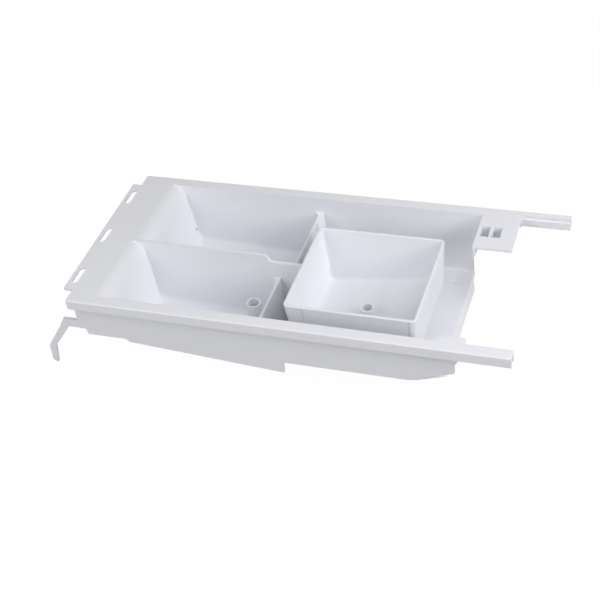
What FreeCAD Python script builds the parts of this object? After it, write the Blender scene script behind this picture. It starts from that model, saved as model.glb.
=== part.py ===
import FreeCAD, Part
import os
from math import sqrt

# Detergent drawer of a washing machine, in millimetres: one moulded tray with two powder
# compartments, and a softener cup that drops into the chamber behind them.
#
# It is drawn with X running from the rim's front edge to the rear, Y across from the middle
# plane (the near side, with the short rail, is -Y) and Z up from the rim's top face. The
# finished shapes are then moved so that the origin is the middle of the underside.

Vector = FreeCAD.Vector

# Rim, side flanges and rails
rim_width = 150.0
rim_length = 283.0
rim_thick = 2.2
flange_width = 8.5
lip_depth = 8.0
lip_thick = 2.0
lip_round = 1.0
near_rail_reach = 31.7
far_rail_reach = 46.0
far_rail_width = 5.0
far_rail_depth = 9.0
far_rail_step = 0.9
far_rail_step_z = -3.0
pad_length = 17.0
pad_width = 5.2

# Front: rolled edge, clip tab and hooks for the drawer front
near_front_x = 29.4
near_lean = 0.06
far_front_x = 33.0
far_lean = 0.12
roll_radius = 11.0
tab_reach = 7.2
tab_width = 124.6
slot_count = 3
slot_pitch = 47.0
slot_length = 17.6
slot_width = 5.0
slot_x = -2.6
hook_top_z = -24.5
hook_arm_height = 6.8
hook_reach = 12.0
hook_thick = 3.6
hook_foot_x = -27.8
hook_foot_z = -54.0
hook_foot_width = 5.2
hook_tip_z = -71.0

# Side walls, and the tub and rear chamber between them
wall = 2.4
side_front_x = 0.6
side_front_z = -31.6
side_step_x = 5.4
side_fore_z = -36.4
keel_start_x = 38.9
keel_start_z = -38.8
keel_end_x = 155.2
keel_end_z = -47.8
tub_depth = 18.2
near_bilge = 28.0
far_bilge = 7.0
chamber_side_z = -38.0
chamber_floor_z = -57.0
chamber_round = 6.0
chamber_far_bilge = 3.0
back_round = 8.0
ramp_setback = 6.2
tail_setback = 7.0
tail_run = 32.7
tail_end_z = -26.0
tail_heel_z = -19.0
back_setback = 21.0
shelf_width = 16.5
shelf_rise = 1.5
drip_z = -62.8

# Partitions between the compartments, set out from the rear end of the tub
partition = 2.0
middle_y = -3.6
middle_setback = 2.7
middle_step_setback = 29.9
middle_step_run = 3.4
middle_low_z = -5.7
near_weir_setback = 22.5
near_weir_z = -19.7
far_weir_setback = 12.2
far_weir_z = -13.3
far_weir_thick = 1.2
far_weir_end_width = 14.0
far_weir_end_thick = 3.4
corner_round = 4.5

# Siphon post in the near compartment
post_setback = 13.2
post_y = -23.8
post_top_z = -28.0
post_diameter = 10.5
post_hole = 8.0
post_foot_diameter = 15.0
post_foot_rise = 1.5

# Rear plate with two catch pockets, beside the long rail
plate_gap = 5.6
plate_length = 27.4
plate_width = 36.5
plate_web = 1.6
plate_web_depth = 9.0
window_inset = 1.9
window_length = 6.6
window_pitch = 8.3
window_y = 42.2
window_width = 11.8
pocket_wall = 1.2
pocket_depth = 9.0

# Softener cup and the ribs that carry it
cup_front_setback = 0.8
cup_back_gap = 14.2
cup_near_y = -52.7
cup_far_y = 34.7
cup_wall = 2.0
cup_draft = 0.07
cup_floor_z = -47.4
cup_floor_slope = 0.113
cup_front_round = 6.0
cup_corner_round = 4.0
cup_rim_round = 0.6
panel_front_inset = 14.1
panel_back_inset = 5.4
panel_top_z = -1.5
panel_foot_z = -32.0
panel_groove = 0.5
spout_setback = 47.6
spout_y = -10.3
spout_rise = 8.4
spout_below = 5.0
spout_diameter = 10.0
spout_hole = 7.0
rib_thick = 2.0
rib_inset = 22.0

# Values worked out from the ones above
half_width = rim_width / 2
inside_y = half_width - flange_width
side_y = inside_y + wall
near_rail_end = rim_length + near_rail_reach
far_rail_end = rim_length + far_rail_reach
back_x = rim_length - back_setback
floor_top_z = chamber_floor_z + wall
keel_slope = (keel_end_z - keel_start_z) / (keel_end_x - keel_start_x)
tail_end_x = rim_length - tail_setback
tail_start_x = tail_end_x - tail_run
tail_slope = (tail_end_z - chamber_side_z) / tail_run
ramp_end_x = keel_end_x - ramp_setback
middle_end_x = keel_end_x - middle_setback
middle_step_x = keel_end_x - middle_step_setback
near_weir_x = keel_end_x - near_weir_setback
far_weir_x = keel_end_x - far_weir_setback
post_x = near_weir_x - post_setback
plate_start = back_x + plate_gap
plate_end = plate_start + plate_length
window_start = plate_start + window_inset
cup_front_x = keel_end_x - cup_front_setback
cup_back_x = back_x - cup_back_gap
spout_x = cup_back_x - spout_setback
over = 10.0
deep = 2 * hook_tip_z


def box(x0, x1, y0, y1, z0, z1):
    return Part.makeBox(x1 - x0, y1 - y0, z1 - z0, Vector(x0, y0, z0))


def upright(x, y, diameter, z0, z1):
    """Round bar standing from z0 to z1."""
    return Part.makeCylinder(diameter / 2, z1 - z0, Vector(x, y, z0))


def prism(points, travel):
    """Flat outline swept along a vector."""
    return Part.Face(Part.makePolygon(points + points[:1])).extrude(travel)


def across(outline, y0, y1):
    """Outline of (x, z) pairs swept from y0 to y1."""
    return prism([Vector(x, y0, z) for x, z in outline], Vector(0, y1 - y0, 0))


def along(outline, x0, x1):
    """Outline of (y, z) pairs swept from x0 to x1."""
    return prism([Vector(x0, y, z) for y, z in outline], Vector(x1 - x0, 0, 0))


def both_sides(shape):
    return [shape, shape.mirror(Vector(0, 0, 0), Vector(0, 1, 0))]


def join(shapes):
    return shapes[0].fuse(shapes[1:]).removeSplitter()


def rounded(shape, radius, chosen):
    """Round the edges whose middle point passes the test."""
    edges = []
    for edge in shape.Edges:
        if chosen(edge.valueAt((edge.FirstParameter + edge.LastParameter) / 2)):
            edges.append(edge)
    return shape.makeFillet(radius, edges)


def keel_z(x):
    """Height of the side walls' lower edge beside the powder compartments."""
    return keel_start_z + keel_slope * (x - keel_start_x)


def tub_section(inset, side_z, floor_z):
    """Section as (y, z) pairs: upright sides, 45 degree bilges and a flat floor."""
    corner = inset * (sqrt(2) - 1)
    half = [(side_y - (side_z - floor_z) - corner, floor_z + inset)]
    half += [(side_y - inset, side_z + corner), (side_y - inset, over)]
    return half + [(-y, z) for y, z in reversed(half)]


def tub(inset, end_x, far):
    """One side of the tub for powder: its front leans and its floor falls to the rear."""
    front_x, lean, bilge = near_front_x, near_lean, near_bilge
    limits = (-half_width, middle_y + partition)
    if far:
        front_x, lean, bilge = far_front_x, far_lean, far_bilge
        limits = (middle_y, half_width)
    start_x = front_x - wall + inset
    floor_z = keel_z(start_x) - tub_depth
    section = tub_section(inset, floor_z + bilge, floor_z)
    length = end_x - start_x + over
    points = [Vector(start_x - lean * z, y, z) for y, z in section]
    body = prism(points, Vector(length, 0, keel_slope * length))
    if not far:
        body = body.cut(ramp(inset))
    return body.common(box(0, end_x, limits[0], limits[1], deep, 0))


def ramp(inset):
    """Space below the floor behind the near weir, which climbs at 45 degrees to the chamber floor."""
    flat_z = chamber_floor_z + inset
    bend_x = ramp_end_x - inset * (sqrt(2) - 1)
    end_x = keel_end_x + over
    outline = [(bend_x, flat_z), (end_x, flat_z), (end_x, deep), (bend_x + deep - flat_z, deep)]
    return across(outline, -half_width, half_width)


def chamber(inset, start_x, end_x):
    """Rear chamber, whose near bilge rises towards the tail of the side wall."""
    near = along(tub_section(inset, chamber_side_z, chamber_floor_z), start_x, end_x)
    far = along(tub_section(inset, chamber_floor_z + chamber_far_bilge, chamber_floor_z), start_x, end_x)
    far_y = side_y - inset - 0.1
    far = rounded(far, back_round - inset, lambda point: point.x > end_x - 1 and point.y > far_y)
    corner = inset * (sqrt(2) - 1)
    shift = tail_slope * inset * sqrt(2) / sqrt(2 + tail_slope ** 2)
    reach = end_x - start_x
    hinge = Vector(tail_start_x, inset - side_y, chamber_side_z + corner - shift)
    rise = Vector(reach, 0, tail_slope * reach)
    inward = Vector(0, reach, -reach)
    corners = [hinge, hinge + rise, hinge + rise + inward, hinge + inward]
    near = near.cut(prism(corners, Vector(0, -reach, -reach)))
    near = near.common(box(start_x, end_x, -half_width, 0, deep, 0))
    far = far.common(box(start_x, end_x, 0, half_width, deep, 0))
    return join([near, far])


def hollows():
    """Powder compartments, the gaps behind them and the inside of the rear chamber."""
    tub_end = keel_end_x - wall
    far_start = middle_y + partition
    near_inside = tub(wall, tub_end, False)
    far_inside = tub(wall, tub_end, True)
    powder = [near_inside.common(box(0, near_weir_x, -half_width, middle_y, deep, 0))]
    powder.append(far_inside.common(box(0, far_weir_x, far_start, half_width, deep, 0)))

    def inner_edge(point):
        front_corner = point.x < far_front_x + over and point.z > keel_start_z
        return point.z < -1 and not front_corner

    spaces = [rounded(space, corner_round, inner_edge) for space in powder]
    near_gap = box(near_weir_x + partition, tub_end, -half_width, middle_y, deep, 0)
    far_gap = box(far_weir_x + far_weir_thick, tub_end, far_start, half_width, deep, 0)
    spaces += [near_inside.common(near_gap), far_inside.common(far_gap)]
    rear = chamber(wall, middle_end_x, back_x + 1)
    low_z = floor_top_z + 0.1
    spaces.append(rounded(rear, chamber_round, lambda point: point.z < low_z and point.y < -over))
    return spaces


def roll_wedge(front_x, lean, radius, y0, y1):
    """Wedge outside a rolled edge that runs from the flat rim into a leaning front wall."""
    stretch = sqrt(1 + lean ** 2)
    centre_x = front_x + lean * roll_radius - roll_radius * stretch
    top_z = radius - roll_radius
    half_turn = sqrt((1 + lean / stretch) / 2)
    start = Vector(centre_x, y0, top_z)
    middle_rise = Vector(sqrt(1 - half_turn ** 2), 0, half_turn) * radius
    middle = Vector(centre_x, y0, -roll_radius) + middle_rise
    end = Vector(centre_x + radius / stretch, y0, radius * lean / stretch - roll_radius)
    corner = Vector(end.x, y0, top_z)
    edges = [Part.Arc(start, middle, end).toShape()]
    edges += [Part.makeLine(end, corner), Part.makeLine(corner, start)]
    return Part.Face(Part.Wire(edges)).extrude(Vector(0, y1 - y0, 0))


def front_rolls():
    """Material under the rolled front edges, and the corners cut away above them."""
    near = (near_front_x, near_lean, -inside_y, middle_y)
    far = (far_front_x, far_lean, middle_y + partition, inside_y)
    fills = []
    cuts = []
    for front_x, lean, y0, y1 in (near, far):
        fills.append(roll_wedge(front_x, lean, roll_radius - rim_thick, y0, y1))
        cuts.append(roll_wedge(front_x, lean, roll_radius, y0, y1))
    return fills, cuts


def side_channel(length):
    """Near side flange and rail: a channel with its outer edge rounded."""
    bar = box(0, length, -half_width, -inside_y, -lip_depth, 0)
    bar = rounded(bar, lip_round, lambda point: point.y < -half_width + 0.1 and point.z > -0.1)
    groove = box(-1, length + 1, -half_width + lip_thick, -inside_y - lip_thick, -lip_depth, -rim_thick)
    return bar.cut(groove)


def far_rail():
    """Long rail: a narrow channel with a small ledge along its inner leg."""
    inner = half_width - far_rail_width
    outline = [(half_width, 0), (inner, 0), (inner, far_rail_step_z)]
    outline += [(inner - far_rail_step, far_rail_step_z), (inner - far_rail_step, -far_rail_depth)]
    outline += [(inner + far_rail_step, -far_rail_depth), (inner + far_rail_step, -rim_thick)]
    outline += [(half_width - lip_thick, -rim_thick), (half_width - lip_thick, -lip_depth)]
    outline += [(half_width, -lip_depth)]
    bar = along(outline, plate_end - lip_depth, far_rail_end)
    return rounded(bar, lip_round, lambda point: point.y > half_width - 0.1 and point.z > -0.1)


def rim():
    """Flat rim with its side flanges and rear rails."""
    plate_y = half_width - lip_thick
    plate = box(0, back_x, -plate_y, plate_y, -rim_thick, 0)
    far = side_channel(plate_end).mirror(Vector(0, 0, 0), Vector(0, 1, 0))
    return [plate, side_channel(near_rail_end), far, far_rail()]


def side_wall():
    """Near side wall, from the front edge to the stepped tail."""
    outline = [(side_front_x, 0), (side_front_x, side_front_z), (side_step_x, side_front_z)]
    outline += [(side_step_x + 1, side_fore_z), (keel_start_x - 3, side_fore_z)]
    outline += [(keel_start_x, keel_start_z), (keel_end_x, keel_end_z)]
    outline += [(keel_end_x, chamber_side_z), (tail_start_x, chamber_side_z)]
    outline += [(tail_end_x, tail_end_z), (tail_end_x, tail_heel_z)]
    outline += [(rim_length, -lip_depth), (rim_length, 0)]
    return across(outline, -side_y, -inside_y)


def hook():
    """Near front hook: a flat arm that drops forward from the side wall to a narrow foot."""
    elbow_z = hook_top_z - hook_arm_height
    toe_x = hook_foot_x - hook_foot_width / 2
    heel_x = hook_foot_x + hook_foot_width / 2
    arm_x = side_front_x - hook_reach
    outline = [(side_front_x + 1, hook_top_z), (arm_x, hook_top_z), (arm_x - hook_thick, elbow_z)]
    outline += [(heel_x - hook_thick + 1, hook_foot_z + 4), (toe_x, hook_foot_z)]
    outline += [(toe_x - 1, hook_tip_z + 2), (hook_foot_x, hook_tip_z), (heel_x, hook_foot_z)]
    outline += [(heel_x + 4, hook_foot_z + 5)]
    outline += [(arm_x + hook_thick / 2, elbow_z - 2), (arm_x + hook_thick, elbow_z)]
    outline += [(side_front_x + 1, elbow_z)]
    return across(outline, -side_y, -inside_y)


def front_tab():
    """Thin tab in front of the rim, with clip slots in a row."""
    tab = box(-tab_reach, 1, -tab_width / 2, tab_width / 2, -rim_thick, 0)
    reach = (slot_length - slot_width) / 2
    for index in range(slot_count):
        y = (index - (slot_count - 1) / 2) * slot_pitch
        slot = box(slot_x - slot_width / 2, slot_x + slot_width / 2, y - reach, y + reach, -over, over)
        ends = [upright(slot_x, y + end, slot_width, -over, over) for end in (-reach, reach)]
        tab = tab.cut([slot] + ends)
    return tab


def rear_plate():
    """Plate at rim height on the far side, with a web under its front edge and two catch pockets."""
    near_y = inside_y - plate_width
    plate = box(plate_start, plate_end, near_y, inside_y + 1, -rim_thick, 0)
    web = box(plate_start, plate_start + plate_web, near_y, inside_y + 1, -plate_web_depth, -1)
    window_end = window_start + window_pitch + window_length
    window_far_y = window_y + window_width
    block = box(window_start - pocket_wall, window_end + pocket_wall, window_y - pocket_wall,
                window_far_y + pocket_wall, -pocket_depth - pocket_wall, -1)
    plate = join([plate, web, block])
    for index in range(2):
        x = window_start + index * window_pitch
        plate = plate.cut(box(x, x + window_length, window_y, window_far_y, -pocket_depth, over))
    return plate


def rear_pad():
    """Short inward step of the near flange."""
    start_x = rim_length - pad_length
    return box(start_x, rim_length, -inside_y - 1, -inside_y + pad_width, -rim_thick, 0)


def partition_cuts():
    """What is taken off the tops of the partitions, the open back and the end of its floor."""
    step_end = middle_step_x + middle_step_run
    outline = [(middle_step_x, over), (middle_step_x, 0), (step_end, middle_low_z)]
    outline += [(middle_end_x + 1, middle_low_z), (middle_end_x + 1, over)]
    middle = across(outline, middle_y - 0.5, middle_y + partition + 0.5)
    far_y = middle_y + partition
    near_end = near_weir_x + partition + 1
    far_end = far_weir_x + far_weir_thick + 1
    near = box(near_weir_x - corner_round, near_end, -inside_y, middle_y, near_weir_z, over)
    far = box(far_weir_x - corner_round, far_end, far_y, inside_y, far_weir_z, over)
    back = box(back_x - back_round, back_x + 1, 0, inside_y, floor_top_z, over)
    outline = [(back_x - wall, floor_top_z), (back_x, drip_z), (back_x + 1, drip_z)]
    outline += [(back_x + 1, floor_top_z)]
    floor_end = across(outline, -half_width, half_width)
    return [middle, near, far, back, floor_end]


def far_weir_end():
    """Thicker far end of the far weir, against the side wall."""
    start_y = inside_y - far_weir_end_width
    end_x = far_weir_x + far_weir_end_thick
    return box(far_weir_x, end_x, start_y, side_y - 1, 2 * far_weir_z, far_weir_z)


def siphon_post():
    """Post in the near compartment, on a flat round foot."""
    floor_z = keel_z(post_x) - tub_depth
    foot = upright(post_x, post_y, post_foot_diameter, floor_z + 1, floor_z + wall + post_foot_rise)
    return foot.fuse(upright(post_x, post_y, post_diameter, floor_z + 1, post_top_z))


def drip_lip():
    """Open back edge of the floor, turned down to shed water."""
    side_z = chamber_side_z + tail_slope * (back_x - tail_start_x)
    near_y = side_z - chamber_floor_z - side_y
    far_y = side_y - back_round
    drop = chamber_floor_z - drip_z
    outline = [(near_y + drop, drip_z), (far_y - drop, drip_z), (far_y, chamber_floor_z)]
    outline += [(far_y, chamber_floor_z + 1), (near_y, chamber_floor_z + 1), (near_y, chamber_floor_z)]
    section = [(back_x - wall, floor_top_z), (back_x, drip_z), (back_x - wall, drip_z)]
    section += [(back_x - 2 * wall, floor_top_z)]
    sheet = across(section, -half_width, half_width)
    return along(outline, back_x - 2 * wall, back_x).common(sheet)


def rear_shelf():
    """Low step along the far side of the chamber floor, beside the cup."""
    top_z = floor_top_z + shelf_rise
    step = box(keel_end_x, back_x, inside_y - shelf_width, side_y, chamber_floor_z, top_z)
    return chamber(wall / 2, keel_end_x, back_x - wall).common(step)


def cup_ribs():
    """Two upright ribs on the chamber floor, shaped to the cup's sloping underside."""
    start, end = cup_front_x + rib_inset, cup_back_x - rib_inset
    outline = [(x, cup_floor_z + cup_floor_slope * (x - cup_front_x)) for x in (start, end)]
    outline += [(end, chamber_floor_z + 1), (start, chamber_floor_z + 1)]
    middles = (cup_near_y + rib_inset, cup_far_y - rib_inset)
    return [across(outline, y - rib_thick / 2, y + rib_thick / 2) for y in middles]


def tray():
    """The whole moulded tray."""
    fills, cuts = front_rolls()
    shells = [tub(0, keel_end_x, False), tub(0, keel_end_x, True), chamber(0, keel_end_x - wall, back_x)]
    body = join(shells + fills + rim() + both_sides(side_wall()))
    body = body.cut(hollows() + cuts + partition_cuts())
    extras = [siphon_post(), front_tab(), rear_plate(), rear_pad(), far_weir_end()]
    extras += [drip_lip(), rear_shelf()]
    body = join([body] + extras + both_sides(hook()) + cup_ribs())
    return body.cut(upright(post_x, post_y, post_hole, deep, 0))


def cup_block(inset):
    """Tapered block of the cup, with a rounded front foot and a floor that rises to the rear."""
    floor_z = cup_floor_z + inset * sqrt(1 + cup_floor_slope ** 2)
    top = over if inset else 0.0
    flare, taper = cup_draft * top, cup_draft * deep
    front, back = cup_front_x + inset, cup_back_x - inset
    near, far = cup_near_y + inset, cup_far_y - inset
    outline = [(front - flare, top), (front - taper, deep), (back + taper, deep), (back + flare, top)]
    block = across(outline, near - over, far + over)
    rise = cup_floor_slope * (back - cup_front_x)
    under = [(cup_front_x, floor_z), (back, floor_z + rise), (back, deep), (cup_front_x, deep)]
    block = block.cut(across(under, near - over, far + over))
    foot_x, foot_z = front + over, floor_z + 2
    block = rounded(block, cup_front_round - inset, lambda point: point.x < foot_x and point.z < foot_z)
    outline = [(near - flare, top), (near - taper, deep), (far + taper, deep), (far + flare, top)]
    block = block.common(along(outline, cup_front_x - over, cup_back_x + over))

    def at_corner(point):
        ends = min(abs(point.x - front), abs(point.x - back)) < 6
        sides = min(abs(point.y - near), abs(point.y - far)) < 6
        return ends and sides and floor_z + over < point.z < top - 2

    return rounded(block, cup_corner_round - inset, at_corner)


def panel_grooves():
    """Fine upright grooves at both ends of the panel in the cup's near wall."""
    grooves = []
    for x in (cup_front_x + panel_front_inset, cup_back_x - panel_back_inset):
        face = [(cup_near_y + panel_groove - cup_draft * z, z) for z in (panel_top_z, panel_foot_z)]
        outline = [(cup_near_y - 1, panel_top_z)] + face + [(cup_near_y - 1, panel_foot_z)]
        grooves.append(along(outline, x - panel_groove / 2, x + panel_groove / 2))
    return grooves


def cup():
    """Softener cup: tapered box with a rounded rim and a siphon spout in its floor."""
    under_z = cup_floor_z + cup_floor_slope * (spout_x - cup_front_x)
    body = cup_block(0).cut(cup_block(cup_wall))
    body = rounded(body, cup_rim_round, lambda point: point.z > -0.1)
    spout_top_z = under_z + cup_wall + spout_rise
    body = body.fuse(upright(spout_x, spout_y, spout_diameter, under_z - spout_below, spout_top_z))
    return body.cut(panel_grooves() + [upright(spout_x, spout_y, spout_hole, deep, 0)])


nodes = {"detergent_tray": tray(), "softener_cup": cup()}
bounds = FreeCAD.BoundBox()
for shape in nodes.values():
    bounds.add(shape.optimalBoundingBox(False, False))
os.makedirs("parts", exist_ok=True)
for name, shape in nodes.items():
    shape.translate(Vector(-bounds.Center.x, -bounds.Center.y, -bounds.ZMin))
    shape.exportStep("parts/" + name + ".step")
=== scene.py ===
from math import cos, pi, radians, sin

import bmesh
import bpy
from mathutils import Matrix, Vector


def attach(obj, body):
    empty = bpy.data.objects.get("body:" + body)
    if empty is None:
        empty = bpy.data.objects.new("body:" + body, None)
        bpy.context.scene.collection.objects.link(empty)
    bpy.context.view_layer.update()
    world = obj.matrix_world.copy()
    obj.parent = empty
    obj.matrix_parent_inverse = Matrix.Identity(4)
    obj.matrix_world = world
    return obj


MM = 0.001
WHITE = (1, 1, 1, 1)

# Camera: place in the part's frame, turn about the vertical, height and roll in degrees
CAMERA_PLACE = Vector((278.4, -634.2, 630.8)) * MM
CAMERA_AZIMUTH = 23.884
CAMERA_ELEVATION = 40.503
CAMERA_ROLL = -9.137
CAMERA_LENS = 75.5
CAMERA_SENSOR = 36
CAMERA_SHIFT_Y = -10 / 600
CAMERA_CLIP = 0.01

# Plastic colours, each with a lighter and a darker tone
TRAY_TONES = ((0.912, 0.916, 0.96, 1), (0.9, 0.904, 0.949, 1))
CUP_TONES = ((0.905, 0.912, 0.954, 1), (0.894, 0.901, 0.945, 1))
# Dark grey of the gate pip's pit: painted shade for the shadow in the small pit, not a colour
# of the plastic
PIT_SHADE_TONES = ((0.34, 0.34, 0.36, 1), (0.26, 0.26, 0.28, 1))

# Plastic surface: slow clouds of tone and gloss, fine grain, and light that enters it a little
CLOUD_SCALE = 18.0
CLOUD_DETAIL = 3.0
CLOUD_ROUGHNESS = 0.5
CLOUD_DARK = 0.3
CLOUD_LIGHT = 0.7
GLOSS_MIN = 0.44
GLOSS_MAX = 0.58
GRAIN_SCALE = 1400.0
GRAIN_DETAIL = 2.0
GRAIN_ROUGHNESS = 0.6
GRAIN_STRENGTH = 0.06
GRAIN_DEPTH = 0.3 * MM
SPECULAR_LEVEL = 0.3
SUBSURFACE_WEIGHT = 0.2
SUBSURFACE_DEPTH = 2 * MM

# Gate pip on the far compartment's front wall, placed in the part's frame
GATE_PLACE = Vector((-110.92, 64.1, 30.4)) * MM
GATE_NORMAL = Vector((1, 0, 0.12))
GATE_RING = 1.5 * MM
GATE_SLOPE = 0.35 * MM
GATE_RISE = 0.3 * MM
GATE_PIT = 0.95 * MM
GATE_PIT_SIDE = (0.8 * GATE_PIT, 0.1 * MM)
GATE_PIT_BOTTOM = (0.3 * GATE_PIT, 0.05 * MM)
# The pip's bands from this one on, its pit side and bottom, take the painted shade material
GATE_SHADE_FROM = 3
MARK_STEPS = 28

# Studio: each lamp's place, width and watts
WORLD_COLOR = (0.97, 0.98, 1.0, 1)
WORLD_STRENGTH = 0.26
FLOOR_COLOR = (0.5, 0.5, 0.505, 1)
FLOOR_SIZE = 12
FLOOR_DROP = 0.2 * MM
FLOOR_SHARE = 0.86
FLOOR_GLOW = 1.12
LIGHT_TARGET = Vector((0, 0, 0.04))
LAMPS = {
    "key": ((0.78, -0.24, 0.5), 0.35, 3.5),
    "top": ((0.45, -0.1, 0.83), 0.4, 1.6),
    "fill": ((-0.6, -0.85, 0.9), 0.9, 2.0),
    "near": ((-0.4, -0.6, 0.45), 0.5, 1.5),
}


def new_nodes(owner):
    """Empty node tree of a material or world."""
    owner.use_nodes = True
    owner.node_tree.nodes.clear()
    return owner.node_tree


def add(tree, kind, **values):
    """New shader node, with its inputs and settings given by name."""
    node = tree.nodes.new(kind)
    for name, value in values.items():
        if hasattr(node, name):
            setattr(node, name, value)
        else:
            node.inputs[name.replace("_", " ")].default_value = value
    return node


def noise(tree, scale, detail, roughness):
    return add(tree, "ShaderNodeTexNoise", Scale=scale, Detail=detail, Roughness=roughness)


def plastic(name, tones):
    """Satin white moulded plastic with a fine grain and a faint uneven tone."""
    light, dark = tones
    material = bpy.data.materials.new(name)
    tree = new_nodes(material)
    link = tree.links.new
    place = add(tree, "ShaderNodeTexCoord")
    cloud = noise(tree, CLOUD_SCALE, CLOUD_DETAIL, CLOUD_ROUGHNESS)
    tone = add(tree, "ShaderNodeValToRGB")
    first, last = tone.color_ramp.elements
    first.position, first.color = CLOUD_DARK, dark
    last.position, last.color = CLOUD_LIGHT, light
    grain = noise(tree, GRAIN_SCALE, GRAIN_DETAIL, GRAIN_ROUGHNESS)
    gloss = add(tree, "ShaderNodeMapRange", To_Min=GLOSS_MIN, To_Max=GLOSS_MAX)
    bump = add(tree, "ShaderNodeBump", Strength=GRAIN_STRENGTH, Distance=GRAIN_DEPTH)
    shader = add(
        tree,
        "ShaderNodeBsdfPrincipled",
        Specular_IOR_Level=SPECULAR_LEVEL,
        Subsurface_Weight=SUBSURFACE_WEIGHT,
        Subsurface_Radius=(1, 1, 1),
        Subsurface_Scale=SUBSURFACE_DEPTH,
    )
    out = add(tree, "ShaderNodeOutputMaterial")
    link(place.outputs["Object"], cloud.inputs["Vector"])
    link(place.outputs["Object"], grain.inputs["Vector"])
    link(cloud.outputs["Fac"], tone.inputs["Fac"])
    link(cloud.outputs["Fac"], gloss.inputs["Value"])
    link(grain.outputs["Fac"], bump.inputs["Height"])
    link(tone.outputs["Color"], shader.inputs["Base Color"])
    link(gloss.outputs["Result"], shader.inputs["Roughness"])
    link(bump.outputs["Normal"], shader.inputs["Normal"])
    link(shader.outputs["BSDF"], out.inputs["Surface"])
    return material


def dress(node, material):
    """Moulded finish of a CAD node."""
    node.data.materials.clear()
    node.data.materials.append(material)


def turned(name, profile, place, normal, materials, dark_from):
    """Small turned mark on a face, from (radius, height) pairs.

    The bands from dark_from on take the second material.
    """
    mesh = bmesh.new()
    rings = []
    for radius, height in profile:
        ring = []
        for step in range(MARK_STEPS):
            angle = 2 * pi * step / MARK_STEPS
            ring.append(mesh.verts.new((radius * cos(angle), radius * sin(angle), height)))
        rings.append(ring)
    for index, (lower, upper) in enumerate(zip(rings, rings[1:])):
        for step in range(MARK_STEPS):
            after = (step + 1) % MARK_STEPS
            face = mesh.faces.new((lower[step], lower[after], upper[after], upper[step]))
            face.material_index = 1 if index >= dark_from else 0
            face.smooth = True
    for ring, index in ((list(reversed(rings[0])), 0), (rings[-1], 1)):
        mesh.faces.new(ring).material_index = index
    data = bpy.data.meshes.new(name)
    mesh.to_mesh(data)
    mesh.free()
    for material in materials:
        data.materials.append(material)
    mark = bpy.data.objects.new(name, data)
    turn = normal.to_track_quat("Z", "Y").to_matrix().to_4x4()
    mark.matrix_world = Matrix.Translation(place) @ turn
    bpy.context.scene.collection.objects.link(mark)
    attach(mark, "root")


def gate_pip(materials):
    """Pip left where the plastic was let into the mould: a low ring round a rough pit, whose
    side and bottom are dark grey painted shade.
    """
    foot = GATE_RING + GATE_SLOPE
    profile = [(foot, -GATE_RISE), (foot, 0), (GATE_RING, GATE_RISE)]
    profile += [(GATE_PIT, GATE_RISE), GATE_PIT_SIDE, GATE_PIT_BOTTOM]
    turned("gate_pip", profile, GATE_PLACE, GATE_NORMAL, materials, GATE_SHADE_FROM)


def add_camera():
    data = bpy.data.cameras.new("camera")
    data.lens = CAMERA_LENS
    data.sensor_width = CAMERA_SENSOR
    data.sensor_fit = "HORIZONTAL"
    data.shift_y = CAMERA_SHIFT_Y
    data.clip_start = CAMERA_CLIP
    camera = bpy.data.objects.new("camera", data)
    turn = Matrix.Rotation(radians(CAMERA_AZIMUTH), 4, "Z")
    turn = turn @ Matrix.Rotation(radians(90 - CAMERA_ELEVATION), 4, "X")
    turn = turn @ Matrix.Rotation(radians(CAMERA_ROLL), 4, "Z")
    camera.matrix_world = Matrix.Translation(CAMERA_PLACE) @ turn
    bpy.context.scene.collection.objects.link(camera)
    bpy.context.scene.camera = camera


def add_lamp(name, place, width, watts):
    """Square lamp that faces the part."""
    data = bpy.data.lights.new(name, "AREA")
    data.shape = "RECTANGLE"
    data.size = data.size_y = width
    data.energy = watts
    lamp = bpy.data.objects.new(name, data)
    lamp.location = Vector(place)
    lamp.rotation_euler = (LIGHT_TARGET - Vector(place)).to_track_quat("-Z", "Y").to_euler()
    bpy.context.scene.collection.objects.link(lamp)


def seen_rays(tree):
    """1 for the rays that show the background: straight, mirrored or through glass."""
    path = add(tree, "ShaderNodeLightPath")
    direct = add(tree, "ShaderNodeMath", operation="MAXIMUM")
    seen = add(tree, "ShaderNodeMath", operation="MAXIMUM")
    tree.links.new(path.outputs["Is Camera Ray"], direct.inputs[0])
    tree.links.new(path.outputs["Is Glossy Ray"], direct.inputs[1])
    tree.links.new(direct.outputs[0], seen.inputs[0])
    tree.links.new(path.outputs["Is Transmission Ray"], seen.inputs[1])
    return seen


def mix_out(tree, factor, lit, shown, kind):
    """Output node that goes from the lit shader to the shown one by a factor."""
    mix = add(tree, "ShaderNodeMixShader")
    out = add(tree, kind)
    tree.links.new(factor.outputs[0], mix.inputs["Fac"])
    tree.links.new(lit.outputs[0], mix.inputs[1])
    tree.links.new(shown.outputs[0], mix.inputs[2])
    tree.links.new(mix.outputs[0], out.inputs["Surface"])


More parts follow.
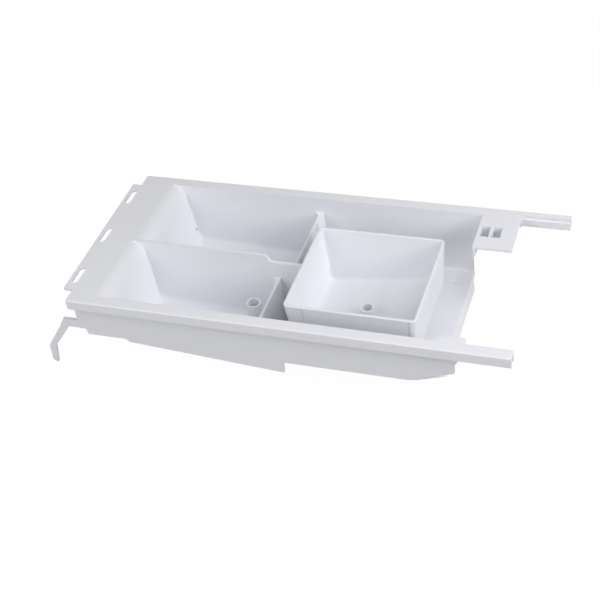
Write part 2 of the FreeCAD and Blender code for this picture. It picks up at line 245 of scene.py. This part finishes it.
def add_world():
    """Soft light from all round, with a white background."""
    world = bpy.data.worlds.new("studio")
    bpy.context.scene.world = world
    tree = new_nodes(world)
    seen = seen_rays(tree)
    fill = add(tree, "ShaderNodeBackground", Color=WORLD_COLOR, Strength=WORLD_STRENGTH)
    white = add(tree, "ShaderNodeBackground", Color=WHITE, Strength=1.0)
    mix_out(tree, seen, fill, white, "ShaderNodeOutputWorld")


def add_floor():
    """White floor: what the camera sees of it is nearly plain white, with a soft shadow."""
    bpy.ops.mesh.primitive_plane_add(size=FLOOR_SIZE, location=(0, 0, -FLOOR_DROP))
    floor = bpy.context.object
    floor.name = "floor"
    material = bpy.data.materials.new("floor_white")
    tree = new_nodes(material)
    seen = seen_rays(tree)
    share = add(tree, "ShaderNodeMath", operation="MULTIPLY")
    share.inputs[1].default_value = FLOOR_SHARE
    tree.links.new(seen.outputs[0], share.inputs[0])
    matte = add(tree, "ShaderNodeBsdfDiffuse", Color=FLOOR_COLOR)
    glow = add(tree, "ShaderNodeEmission", Color=WHITE, Strength=FLOOR_GLOW)
    mix_out(tree, share, matte, glow, "ShaderNodeOutputMaterial")
    floor.data.materials.append(material)


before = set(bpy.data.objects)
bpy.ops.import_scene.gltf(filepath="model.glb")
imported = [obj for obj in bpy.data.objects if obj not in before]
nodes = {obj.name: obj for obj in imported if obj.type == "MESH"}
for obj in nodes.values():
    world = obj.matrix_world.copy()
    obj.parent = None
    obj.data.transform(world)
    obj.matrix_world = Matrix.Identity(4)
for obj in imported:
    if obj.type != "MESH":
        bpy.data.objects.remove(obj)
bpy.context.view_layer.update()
tray_white = plastic("tray_white", TRAY_TONES)
cup_white = plastic("cup_white", CUP_TONES)
# Dark grey material for the pip's pit: painted shade
pit_painted_shade = plastic("pit_painted_shade", PIT_SHADE_TONES)
dress(nodes["detergent_tray"], tray_white)
dress(nodes["softener_cup"], cup_white)
gate_pip((tray_white, pit_painted_shade))
add_camera()
add_world()
add_floor()
for lamp_name, settings in LAMPS.items():
    add_lamp(lamp_name, *settings)
bpy.context.scene.view_settings.view_transform = "Standard"
